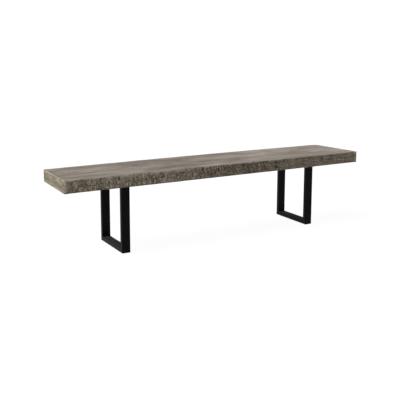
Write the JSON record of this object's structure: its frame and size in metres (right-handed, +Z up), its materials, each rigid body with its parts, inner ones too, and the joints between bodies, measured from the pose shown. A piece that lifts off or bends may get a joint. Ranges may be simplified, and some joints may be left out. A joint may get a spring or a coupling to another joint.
{
  "type": "garden bench",
  "caption": "Backless bench: a long thick weathered plank seat with rough-hewn long edges, carried on flat black steel tube frames shaped like a U.",
  "frame": {"origin": "on the ground, under the middle of the bench's bounding box", "axes": "+X along the bench, -Y towards the front, +Z up"},
  "size_m": [1.9789, 0.4, 0.45],
  "materials": {
    "timber": "weathered grey, open grain, sanded on top and rough hewn on the long edges",
    "black_steel": "satin black powder coat",
    "zinc": "bright zinc plated",
    "brass": "dull brass",
    "glide_nylon": "matt black nylon"
  },
  "bodies": {
    "root": {"seat_slab": "timber", "left_front_upright": "black_steel", "left_rear_upright": "black_steel", "left_foot_rail": "black_steel", "left_mounting_plate": "black_steel", "left_corner_welds": "black_steel", "left_plate_welds": "black_steel", "left_bolts": "zinc", "left_washers": "zinc", "left_inserts": "brass", "left_front_glide": "glide_nylon", "left_rear_glide": "glide_nylon", "right_front_upright": "black_steel", "right_rear_upright": "black_steel", "right_foot_rail": "black_steel", "right_mounting_plate": "black_steel", "right_corner_welds": "black_steel", "right_plate_welds": "black_steel", "right_bolts": "zinc", "right_washers": "zinc", "right_inserts": "brass", "right_front_glide": "glide_nylon", "right_rear_glide": "glide_nylon"}
  },
  "joints": []
}
